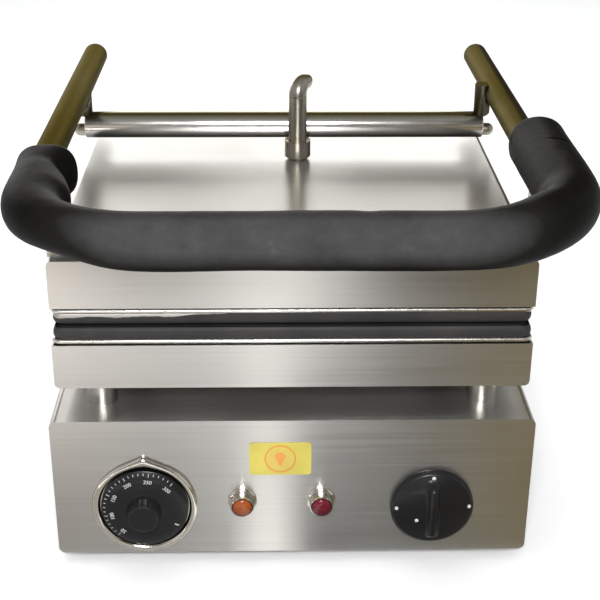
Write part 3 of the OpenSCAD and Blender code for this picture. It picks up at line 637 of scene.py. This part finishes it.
def make_waffle_plate(node, name, faces_up, material):
    """A cast slab with rounded upright edges whose baking face is a height field."""
    low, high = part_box(node)
    mid = (low + high) / 2
    half_x, half_y = (high.x - low.x) / 2, (high.y - low.y) / 2
    bake_y = middle("lid_shell").y
    step = 1.6 * MM
    nx, ny = int(2 * half_x / step), int(2 * half_y / step)
    corner, bead, lean = 6 * MM, 3.2 * MM, math.radians(75)
    face_z = high.z if faces_up else low.z
    back_z = low.z if faces_up else high.z
    way = -1 if faces_up else 1
    bm = bmesh.new()

    def plan(i, j, inset=0.0):
        x = -half_x + 2 * half_x * i / nx
        y = -half_y + 2 * half_y * j / ny
        return round_corner(x, y, half_x, half_y, corner, inset)

    face = [[None] * (ny + 1) for _ in range(nx + 1)]
    for i in range(nx + 1):
        for j in range(ny + 1):
            rim = i in (0, nx) or j in (0, ny)
            x, y = plan(i, j, bead * (1 - math.cos(lean)) if rim else 0.0)
            drop = waffle_height(x, mid.y + y - bake_y, 112 * MM)
            face[i][j] = bm.verts.new((mid.x + x, mid.y + y, face_z + way * drop))
    for i in range(nx):
        for j in range(ny):
            bm.faces.new((face[i][j], face[i + 1][j], face[i + 1][j + 1], face[i][j + 1]))
    loop = ([(i, 0) for i in range(nx)] + [(nx, j) for j in range(ny)]
            + [(i, ny) for i in range(nx, 0, -1)] + [(0, j) for j in range(ny, 0, -1)])
    previous = [face[i][j] for i, j in loop]
    thickness = abs(face_z - back_z)
    for k in range(1, 11):
        a = lean * (k / 5 - 1)
        depth = thickness / 2 * (1 + math.sin(a) / math.sin(lean))
        ring = []
        for i, j in loop:
            x, y = plan(i, j, bead * (1 - math.cos(a)))
            ring.append(bm.verts.new((mid.x + x, mid.y + y, face_z + way * depth)))
        bridge(bm, previous, ring)
        previous = ring
    bm.faces.new(previous)
    plate = piece_from(bm, name, material, 50)
    stand_for(plate, node)


def round_corner(x, y, half_x, half_y, corner, inset):
    """Pulls a point of a rectangle in so that its corners are round and its rim is inset."""
    hx, hy = half_x - inset, half_y - inset
    x, y = max(-hx, min(hx, x)), max(-hy, min(hy, y))
    cx, cy = hx - corner, hy - corner
    dx, dy = abs(x) - cx, abs(y) - cy
    if dx > 0 and dy > 0:
        far = max(dx, dy)
        length = math.hypot(dx, dy)
        x = math.copysign(cx + dx * far / length, x)
        y = math.copysign(cy + dy * far / length, y)
    return x, y


# Plate lips and post ------------------------------------------------------------------------

LIP_GAP, LIP_HEIGHT = 0.9 * MM, 3.6 * MM


def make_lip(node, name, bottom, top):
    """The folded edge round a plate: a half-round steel bead between two heights."""
    low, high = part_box(node)
    mid = (low + high) / 2
    half_x, half_y = (high.x - low.x) / 2, (high.y - low.y) / 2
    corner, depth, bead = 6 * MM, 5 * MM, 1.9 * MM

    def ring(inset, z):
        points = []
        for sx, sy, start in ((1, 1, 0), (-1, 1, 90), (-1, -1, 180), (1, -1, 270)):
            points += arc_points(mid.x + sx * (half_x - corner), mid.y + sy * (half_y - corner),
                                 corner - inset, start, start + 90, 10)
        return [bm.verts.new((x, y, z)) for x, y in points]

    bm = bmesh.new()
    rings = [ring(depth, bottom)]
    for degrees in range(-90, 91, 15):
        a = math.radians(degrees)
        rings.append(ring(bead * (1 - math.cos(a)),
                          (bottom + top) / 2 + (top - bottom) / 2 * math.sin(a)))
    rings.append(ring(depth, top))
    for a, b in zip(rings, rings[1:] + rings[:1]):
        bridge(bm, a, b)
    stand_for(piece_from(bm, name, LIP_STEEL, 60), node)


def make_elbow():
    """The bent end of the post: a short tube that turns back and to the right, open at its end."""
    low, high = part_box("post_tube")
    radius = (high.x - low.x) / 2
    start = Vector(((low.x + high.x) / 2, (low.y + high.y) / 2, high.z + 0.4 * MM))
    turn = Vector((0.5, 0.86, 0)).normalized()
    up = Vector((0, 0, 1))
    side = up.cross(turn)
    bend, swing, taper, wall = 9.5 * MM, math.radians(112), 0.9 * MM, 1.3 * MM
    bm = bmesh.new()
    outside, inside = [], []
    steps, around = 20, 48
    for k in range(steps + 1):
        a = swing * k / steps
        centre = start + turn * bend * (1 - math.cos(a)) + up * bend * math.sin(a)
        out = turn * math.cos(a) - up * math.sin(a)
        r = radius - taper * k / steps
        for rings, size in ((outside, r), (inside, r - wall)):
            rings.append([bm.verts.new(centre + (out * math.cos(t) + side * math.sin(t)) * size)
                          for t in [2 * math.pi * i / around for i in range(around)]])
    for rings in (outside, inside):
        for a, b in zip(rings, rings[1:]):
            bridge(bm, a, b)
    bridge(bm, outside[0], inside[0])
    bridge(bm, outside[-1], inside[-1])
    stand_for(piece_from(bm, "post_bend", MATERIALS["tube_steel"], 50), "post_elbow")


# Thermostat ---------------------------------------------------------------------------------

def make_bezel():
    """A domed chrome ring whose outline comes to a blunt point on top."""
    low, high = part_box("thermostat_bezel")
    outer_r = (high.x - low.x) / 2
    centre = Vector(((low.x + high.x) / 2, high.y, low.z + outer_r))
    tip = high.z - centre.z
    rim = high.y - low.y
    inner_r = 32.8 * MM
    touch = math.acos(outer_r / tip)
    section = [(0.0, 0.0), (0.0, 0.25), (0.06, 0.55), (0.16, 0.8), (0.3, 0.95), (0.45, 1.0),
               (0.6, 0.96), (0.75, 0.84), (0.88, 0.62), (0.96, 0.4), (1.0, 0.2)]
    blunt, blunt_turn = 0.4 * MM, 0.06
    segments = 180
    bm = bmesh.new()
    rings = []
    for across, height in section:
        ring = []
        for i in range(segments):
            angle = 2 * math.pi * i / segments
            off = abs(angle - math.pi / 2)
            edge_r = outer_r / math.cos(touch - off) if off < touch else outer_r
            edge_r = min(edge_r, tip - blunt * max(0, 1 - off / blunt_turn))
            r = edge_r + (inner_r - edge_r) * across
            ring.append(bm.verts.new(centre + Vector((r * math.cos(angle), -height * rim,
                                                      r * math.sin(angle)))))
        rings.append(ring)
    recess = 0.9 * MM
    rings.append(ring_at(bm, centre, inner_r, recess, segments))
    for a, b in zip(rings, rings[1:]):
        bridge(bm, a, b)
    bm.faces.new(rings[0])
    bm.faces.new(rings[-1])
    stand_for(piece_from(bm, "bezel_ring", MATERIALS["bezel_chrome"], 50), "thermostat_bezel")


# The dial's sloping scale: its two edges, measured in from the rim, and its height at the rim.
SCALE_RIM, SCALE_WIDE, SCALE_LOW = 0.6 * MM, 8.5 * MM, 2.2 * MM


def make_dial():
    """Dial with a sloping scale rim and a round grip with shallow flutes."""
    low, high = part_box("thermostat_dial")
    radius = (high.x - low.x) / 2
    centre = Vector(((low.x + high.x) / 2, high.y, (low.z + high.z) / 2))
    depth = high.y - low.y
    face, grip_r = 4.2 * MM, 12 * MM
    profile = [(0, 0), (radius - 1.5 * MM, 0), (radius, 0.5 * MM), (radius, 1.6 * MM),
               (radius - SCALE_RIM, SCALE_LOW), (radius - SCALE_WIDE, face), (grip_r + 3 * MM, face),
               (grip_r + 1.2 * MM, face + 0.4 * MM), (grip_r + 0.3 * MM, face + 1.6 * MM),
               (grip_r - 0.2 * MM, depth - 2.0 * MM), (grip_r - 0.8 * MM, depth - 0.7 * MM),
               (grip_r - 2.2 * MM, depth), (grip_r - 4 * MM, depth - 0.3 * MM),
               (0.5 * MM, depth - 0.9 * MM)]
    dial = lathe("dial_body", centre, profile, MATERIALS["knob_black"], 120)
    flute(dial, centre, grip_r - 2.5 * MM, grip_r + 0.6 * MM, face + 1.2 * MM, 24, 0.35 * MM)
    stand_for(dial, "thermostat_dial")
    make_scale(centre, radius, face)


def flute(obj, centre, r_from, r_to, front_of, count, depth):
    """Presses shallow flutes into the wall of a round grip."""
    for vertex in obj.data.vertices:
        across, along = vertex.co.x - centre.x, vertex.co.z - centre.z
        r = math.hypot(across, along)
        if r_from < r <= r_to and centre.y - vertex.co.y > front_of:
            angle = math.atan2(along, across)
            pull = depth * (0.5 - 0.5 * math.cos(count * angle))
            vertex.co.x -= across / r * pull
            vertex.co.z -= along / r * pull


def make_scale(centre, radius, face):
    """White ticks and plain numbers on the dial's rim, and a zero dot."""
    slope_in, slope_out = radius - SCALE_WIDE, radius - SCALE_RIM
    bm = bmesh.new()
    first, last, count = 228, 46, 26
    for k in range(count):
        angle = math.radians(first + (last - first) * k / (count - 1))
        length = 2.6 * MM if k % 5 == 0 else 1.6 * MM
        add_tick(bm, centre, angle, slope_out - 1.0 * MM - length, slope_out - 1.0 * MM,
                 0.42 * MM, slope_in, slope_out, face)
    add_tick(bm, centre, math.radians(-30), radius - 7 * MM, radius - 3.5 * MM, 0.9 * MM,
             slope_in, slope_out, face)
    ticks = piece_from(bm, "dial_ticks", DIAL_WHITE)
    add_to(ticks, "dial")
    for k, number in enumerate(("50", "100", "150", "200", "250", "300")):
        angle = math.radians(first + (last - first) * (5 * k) / (count - 1))
        r = slope_in + 0.6 * MM
        spot = centre + Vector((r * math.cos(angle), -face - 0.22 * MM, r * math.sin(angle)))
        make_number(f"dial_number_{number}", number, spot, angle - math.pi / 2, 4.2 * MM)


def slope_height(r, slope_in, slope_out, face):
    share = max(0.0, min(1.0, (r - slope_in) / (slope_out - slope_in)))
    return face + (SCALE_LOW - face) * share


def add_tick(bm, centre, angle, r0, r1, width, slope_in, slope_out, face):
    """A thin raised bar along a radius of the dial."""
    ray = Vector((math.cos(angle), 0, math.sin(angle)))
    side = Vector((-math.sin(angle), 0, math.cos(angle))) * width / 2
    corners = []
    for r in (r0, r1):
        height = slope_height(r, slope_in, slope_out, face)
        for lift in (-0.15 * MM, 0.12 * MM):
            front = Vector((0, -(height + lift), 0))
            for s in (-1, 1):
                corners.append(bm.verts.new(centre + ray * r + side * s + front))
    order = ((0, 1, 3, 2), (4, 6, 7, 5), (0, 4, 5, 1), (2, 3, 7, 6), (0, 2, 6, 4), (1, 5, 7, 3))
    for face_corners in order:
        bm.faces.new([corners[k] for k in face_corners])


def make_number(name, text, spot, turn, size):
    """A raised number on the dial, turned so that its foot points to the middle."""
    curve = bpy.data.curves.new(name, "FONT")
    curve.body = text
    curve.size = size
    curve.extrude = 0.1 * MM
    curve.align_x = "CENTER"
    curve.align_y = "CENTER"
    maker = bpy.data.objects.new(name + "_maker", curve)
    bpy.context.scene.collection.objects.link(maker)
    maker.matrix_world = (Matrix.Translation(spot) @ Matrix.Rotation(-turn, 4, "Y")
                          @ Matrix.Rotation(math.pi / 2, 4, "X"))
    bpy.context.view_layer.update()
    mesh = bpy.data.meshes.new_from_object(
        maker.evaluated_get(bpy.context.evaluated_depsgraph_get()))
    mesh.transform(maker.matrix_world)
    mesh.materials.clear()
    mesh.materials.append(DIAL_WHITE)
    mesh.name = name
    obj = bpy.data.objects.new(name, mesh)
    bpy.context.scene.collection.objects.link(obj)
    bpy.data.objects.remove(maker)
    add_to(obj, "dial")


# Selector -----------------------------------------------------------------------------------

def make_selector_knob():
    """A glossy domed knob with a finger ridge across it and white position dots."""
    low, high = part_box("selector_knob")
    radius = (high.x - low.x) / 2
    centre = Vector(((low.x + high.x) / 2, high.y, (low.z + high.z) / 2))
    depth = high.y - low.y
    rim, dome = 5 * MM, 7 * MM

    def height(x, z):
        r = math.hypot(x, z) / radius
        base = rim - 1.2 * MM * ease((r - 0.93) / 0.07) + dome * (1 - r * r)
        ridge = math.exp(-((x / (3.6 * MM)) ** 4)) * ease((25.5 * MM - abs(z)) / (7 * MM))
        return base + (depth - rim - dome - 0.2 * MM) * ridge * (1 - 0.25 * (z / radius) ** 2)

    bm = bmesh.new()
    around, steps = 160, 60
    rings = []
    for k in range(1, steps + 1):
        r = radius * k / steps
        spots = [(r * math.cos(a), r * math.sin(a))
                 for a in [2 * math.pi * i / around for i in range(around)]]
        rings.append([bm.verts.new(centre + Vector((x, -height(x, z), z))) for x, z in spots])
    top = bm.verts.new(centre + Vector((0, -height(0, 0), 0)))
    for i in range(around):
        bm.faces.new((top, rings[0][i], rings[0][(i + 1) % around]))
    for r, h in ((radius, 0.6 * MM), (radius - 0.8 * MM, 0), (6 * MM, 0)):
        rings.append(ring_at(bm, centre, r, h, around))
    for a, b in zip(rings, rings[1:]):
        bridge(bm, a, b)
    bm.faces.new(rings[-1])
    stand_for(piece_from(bm, "selector_body_knob", MATERIALS["knob_black"], 60), "selector_knob")
    for k, (degrees, share) in enumerate(((90, 0.86), (178, 0.86), (4, 0.88), (212, 0.45))):
        a = math.radians(degrees)
        x, z = radius * share * math.cos(a), radius * share * math.sin(a)
        spot = centre + Vector((x, -height(x, z) + 0.35 * MM, z))
        dot = lathe(f"selector_dot_{k}", spot, [(1.5 * MM, 0), (1.45 * MM, 0.5 * MM),
                                                (1.0 * MM, 0.75 * MM), (0.1 * MM, 0.85 * MM)],
                    DIAL_WHITE, 24)
        add_to(dot, "selector")


# Lamps and badge ----------------------------------------------------------------------------

def make_lamp(side):
    """A stepped chrome bezel with a domed lens."""
    low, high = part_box(f"lamp_bezel_{side}")
    radius = (high.x - low.x) / 2
    centre = Vector(((low.x + high.x) / 2, 0, (low.z + high.z) / 2))
    centre.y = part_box("base_case")[0].y
    front = centre.y - low.y
    bore = 7.5 * MM
    profile = [(bore, 0), (radius, 0), (radius, 1.0 * MM), (radius - 0.8 * MM, 2.0 * MM),
               (radius - 1.6 * MM, 2.3 * MM), (radius - 1.9 * MM, 3.4 * MM),
               (radius - 1.7 * MM, 4.6 * MM), (8.9 * MM, 5.2 * MM), (8.6 * MM, front - 1.0 * MM),
               (8.2 * MM, front - 0.2 * MM), (7.8 * MM, front), (bore, front - 0.5 * MM),
               (bore, front - 3 * MM)]
    bezel = lathe(f"lamp_ring_{side}", centre, profile, MATERIALS["bezel_chrome"], 72)
    stand_for(bezel, f"lamp_bezel_{side}")
    lens_front = centre.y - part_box(f"lamp_lens_{side}")[0].y
    lens_r = bore - 0.1 * MM
    start = front - 2.5 * MM
    lens_profile = [(lens_r, start), (lens_r, front + 0.2 * MM)]
    lens_profile += [(lens_r * math.cos(a), front + 0.2 * MM
                      + (lens_front - front - 0.2 * MM) * math.sin(a))
                     for a in [math.radians(d) for d in range(10, 90, 10)]]
    lens_profile.append((0.3 * MM, lens_front))
    slot = SLOT_OF[f"lamp_lens_{side}"]
    lens = lathe(f"lamp_cap_{side}", centre, lens_profile, MATERIALS[slot], 72)
    stand_for(lens, f"lamp_lens_{side}")


def flat_shape(name, points, front_y, thickness, material):
    """A thin plate cut to an outline of (x, z) points, its front at front_y."""
    bm = bmesh.new()
    front = [bm.verts.new((x, front_y, z)) for x, z in points]
    back = [bm.verts.new((x, front_y + thickness, z)) for x, z in points]
    bm.faces.new(front)
    bm.faces.new(back)
    for i in range(len(points)):
        j = (i + 1) % len(points)
        bm.faces.new((front[i], front[j], back[j], back[i]))
    return piece_from(bm, name, material, 30)


def make_badge():
    """A yellow plate with an orange ring, a gold disc and a plain cone sign, with no words."""
    low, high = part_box("badge")
    mid = (low + high) / 2
    r = 2.5 * MM
    hx, hz = (high.x - low.x) / 2 - r, (high.z - low.z) / 2 - r
    outline = []
    for cx, cz, start in ((hx, hz, 0), (-hx, hz, 90), (-hx, -hz, 180), (hx, -hz, 270)):
        outline += arc_points(mid.x + cx, mid.z + cz, r, start, start + 90, 6)
    plate = flat_shape("badge_plate", outline, low.y + 0.15 * MM, high.y - low.y - 0.15 * MM,
                       MATERIALS["badge"])
    stand_for(plate, "badge")
    skin = 0.1 * MM
    bm = bmesh.new()
    add_ring(bm, mid.x, mid.z, 10.2 * MM, 11.6 * MM, low.y + 0.02 * MM, skin)
    ring = piece_from(bm, "badge_ring", BADGE_ORANGE)
    add_to(ring, "base")
    disc = flat_shape("badge_disc", arc_points(mid.x, mid.z, 8.6 * MM, 0, 352, 44),
                      low.y + 0.05 * MM, skin, BADGE_GOLD)
    add_to(disc, "base")
    scoop, scoop_z = 4 * MM, mid.z + 1.5 * MM
    cone = [(mid.x - scoop, scoop_z), (mid.x, mid.z - 7 * MM), (mid.x + scoop, scoop_z)]
    cone += arc_points(mid.x, scoop_z, scoop, 15, 165, 12)
    sign = flat_shape("badge_cone", cone, low.y, skin, BADGE_ORANGE)
    add_to(sign, "base")


def add_ring(bm, x, z, r0, r1, front_y, thickness, segments=64):
    """A flat washer in the XZ plane."""
    loops = []
    for r, y in ((r0, front_y), (r1, front_y), (r1, front_y + thickness),
                 (r0, front_y + thickness)):
        loops.append(ring_at(bm, Vector((x, y, z)), r, 0.0, segments))
    for k in range(4):
        bridge(bm, loops[k], loops[(k + 1) % 4])


# Studio -------------------------------------------------------------------------------------

def glow(name, strength):
    """A new glowing material with no other shader, and its emission node."""
    m = Nodes(name)
    m.tree.nodes.clear()
    light = m.add("ShaderNodeEmission")
    light.inputs["Strength"].default_value = strength
    m.link(light.outputs[0], m.add("ShaderNodeOutputMaterial").inputs["Surface"])
    return m, light


def card(name, corners, material):
    """Links a card that neither the camera nor matt surfaces see."""
    mesh = bpy.data.meshes.new(name)
    mesh.from_pydata([Vector(c) for c in corners], [], [(0, 1, 2, 3)])
    mesh.materials.append(material)
    obj = bpy.data.objects.new(name, mesh)
    bpy.context.scene.collection.objects.link(obj)
    obj.visible_camera = False
    obj.visible_diffuse = False
    obj.visible_shadow = False
    obj.visible_transmission = False


def gradient_card(name, corners, stops, strength):
    """A glowing card whose colour changes along X through (x, colour) stops."""
    m, light = glow(name, strength)
    across = m.spread(m.axis("X"), start=-CARD_HALF, end=CARD_HALF)
    shares = [((x + CARD_HALF) / (2 * CARD_HALF), colour) for x, colour in stops]
    m.link(m.ramp(across, shares), light.inputs["Color"])
    card(name, corners, m.material)


def plain_card(name, corners, colour, strength):
    m, light = glow(name, strength)
    light.inputs["Color"].default_value = (*colour, 1)
    card(name, corners, m.material)


def floor_card(name, near, far, strength, stops):
    """A gradient card just over the floor, from near to far in front of the base."""
    y0, y1, z = PANEL_Y - near, PANEL_Y - far, 3 * MM
    gradient_card(name, [(-CARD_HALF, y0, z), (CARD_HALF, y0, z), (CARD_HALF, y1, z),
                         (-CARD_HALF, y1, z)], stops, strength)


def front_card(name, low, high, stops, strength):
    """A gradient card that stands in front of the maker, from one height to another."""
    y = PANEL_Y - FRONT_AWAY
    gradient_card(name, [(-CARD_HALF, y, low), (CARD_HALF, y, low), (CARD_HALF, y, high),
                         (-CARD_HALF, y, high)], stops, strength)


def area_light(name, place, target, size, power, mirrored=True):
    """A rectangular light aimed at target. Shiny surfaces show it only where mirrored."""
    data = bpy.data.lights.new(name, "AREA")
    data.shape = "RECTANGLE"
    data.size, data.size_y = size
    data.energy = power
    light = bpy.data.objects.new(name, data)
    light.visible_glossy = mirrored
    light.location = place
    light.rotation_euler = (Vector(target) - Vector(place)).to_track_quat("-Z", "Y").to_euler()
    bpy.context.scene.collection.objects.link(light)


PANEL_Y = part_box("base_case")[0].y
CARD_HALF, FRONT_AWAY = 1.6, 1.5
WARM, DUN, OLIVE = (0.42, 0.38, 0.33), (0.2, 0.195, 0.175), (0.2, 0.153, 0.066)


def grey(value):
    return (value, value * 0.985, value * 0.96)


def make_floor():
    mesh = bpy.data.meshes.new("floor")
    half = 8
    mesh.from_pydata([(-half, -half, 0), (half, -half, 0), (half, half, 0), (-half, half, 0)],
                     [], [(0, 1, 2, 3)])
    paint = Nodes("floor_paint", Roughness=0.9, Specular_IOR_Level=0.1)
    speckle = paint.noise(3.0, 3, 0.5)
    paint.to(paint.ramp(speckle, [(0.0, (0.9, 0.9, 0.9)), (1.0, (0.93, 0.93, 0.93))]),
             "Base Color")
    mesh.materials.append(paint.material)
    floor = bpy.data.objects.new("floor", mesh)
    bpy.context.scene.collection.objects.link(floor)


def make_world():
    world = bpy.data.worlds.new("studio")
    world.use_nodes = True
    background = world.node_tree.nodes["Background"]
    background.inputs["Color"].default_value = (0.97, 0.98, 1.0, 1)
    background.inputs["Strength"].default_value = 0.62
    bpy.context.scene.world = world
    bpy.context.scene.view_settings.view_transform = "Standard"


def make_studio():
    """A pale floor and soft lights, with tinted cards in front for the steel to mirror: beige on
    the left, a white patch in the middle and olive on the right, and a hood above them."""
    make_floor()
    make_world()

    area_light("key", (-0.05, -1.5, 1.15), (0, 0, 0.12), (0.5, 0.4), 24)
    area_light("top", (-0.3, 0.3, 2.2), (0, 0, 0), (2.2, 2.0), 23, mirrored=False)
    area_light("back", (0.2, 1.9, 1.6), (0, 0, 0.1), (2.0, 0.8), 12, mirrored=False)

    floor_card("card_near", 0.005, 0.28, 1.9,
               [(-0.25, shade(WARM, 0.58)), (-0.1, grey(0.24)), (-0.05, grey(0.36)),
                (-0.018, grey(0.95)), (-0.002, grey(0.6)), (0.016, grey(0.12)),
                (0.1, shade(DUN, 0.5)), (0.19, shade(OLIVE, 0.65))])
    floor_card("card_mid", 0.28, 0.42, 4.4,
               [(-0.26, grey(1.0)), (-0.2, grey(0.75)), (-0.13, grey(0.55)), (-0.05, grey(0.26)),
                (0.0, grey(0.26)), (0.035, grey(0.03)), (0.16, shade(DUN, 0.2)),
                (0.26, shade(OLIVE, 0.32))])
    floor_card("card_far", 0.42, 1.49, 3.6,
               [(-0.3, (0.13, 0.09, 0.055)), (-0.17, grey(0.03)), (-0.1, grey(0.14)),
                (-0.03, grey(0.95)), (0.06, grey(0.8)), (0.11, grey(0.08)),
                (0.18, shade(DUN, 0.25)), (0.3, shade(OLIVE, 0.3))])
    wall = [(-0.8, WARM), (-0.25, grey(0.36)), (-0.1, grey(0.5)), (-0.03, grey(0.85)),
            (0.06, grey(0.4)), (0.15, grey(0.2)), (0.35, shade(DUN, 0.8)),
            (0.6, shade(OLIVE, 0.9))]
    front_card("card_front_low", 0.0, 0.26, wall, 1.1)
    front_card("card_front_band", 0.26, 0.46, [(-0.8, grey(0.8)), (0.2, grey(0.8)),
                                               (0.7, grey(0.5))], 1.3)
    front_card("card_front_high", 0.46, 2.2, wall, 0.5)
    back_y, back_low, back_top, edge = 1.6, 0.2, 1.02, 0.47
    plain_card("card_back", [(-CARD_HALF, back_y, back_low), (edge, back_y, back_low),
                             (edge, back_y, back_top), (-CARD_HALF, back_y, back_top)],
               (1, 0.99, 0.97), 3.4)
    plain_card("card_back_right", [(edge, back_y, back_low), (CARD_HALF, back_y, back_low),
                                   (CARD_HALF, back_y, 1.8), (edge, back_y, 1.8)], OLIVE, 0.35)
    hood_half, hood_y, hood_low, hood_high = 1.2, 0.55, 0.6, 2.2
    plain_card("card_hood", [(-hood_half, hood_y, hood_low), (hood_half, hood_y, hood_low),
                             (hood_half, hood_y, hood_high), (-hood_half, hood_y, hood_high)],
               OLIVE, 0.9)
    front_y = -1.65
    plain_card("card_ceiling", [(-CARD_HALF, front_y, hood_high), (CARD_HALF, front_y, hood_high),
                                (CARD_HALF, hood_y, hood_high), (-CARD_HALF, hood_y, hood_high)],
               grey(1.0), 0.42)


# Build --------------------------------------------------------------------------------------

make_camera()
dress_cad_nodes()
make_foam_grip()
make_waffle_plate("lower_plate", "baking_plate_lower", True, MATERIALS["plate_coating"])
make_waffle_plate("upper_plate", "baking_plate_upper", False, WORN_PLATE)
lower_lip, upper_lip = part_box("lower_shell")[1].z + LIP_GAP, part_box("lid_shell")[0].z - LIP_GAP
make_lip("lower_frame", "lower_lip", lower_lip, lower_lip + LIP_HEIGHT)
make_lip("upper_frame", "upper_lip", upper_lip - LIP_HEIGHT, upper_lip)
make_elbow()
make_bezel()
make_dial()
make_selector_knob()
make_lamp("left")
make_lamp("right")
make_badge()
make_studio()
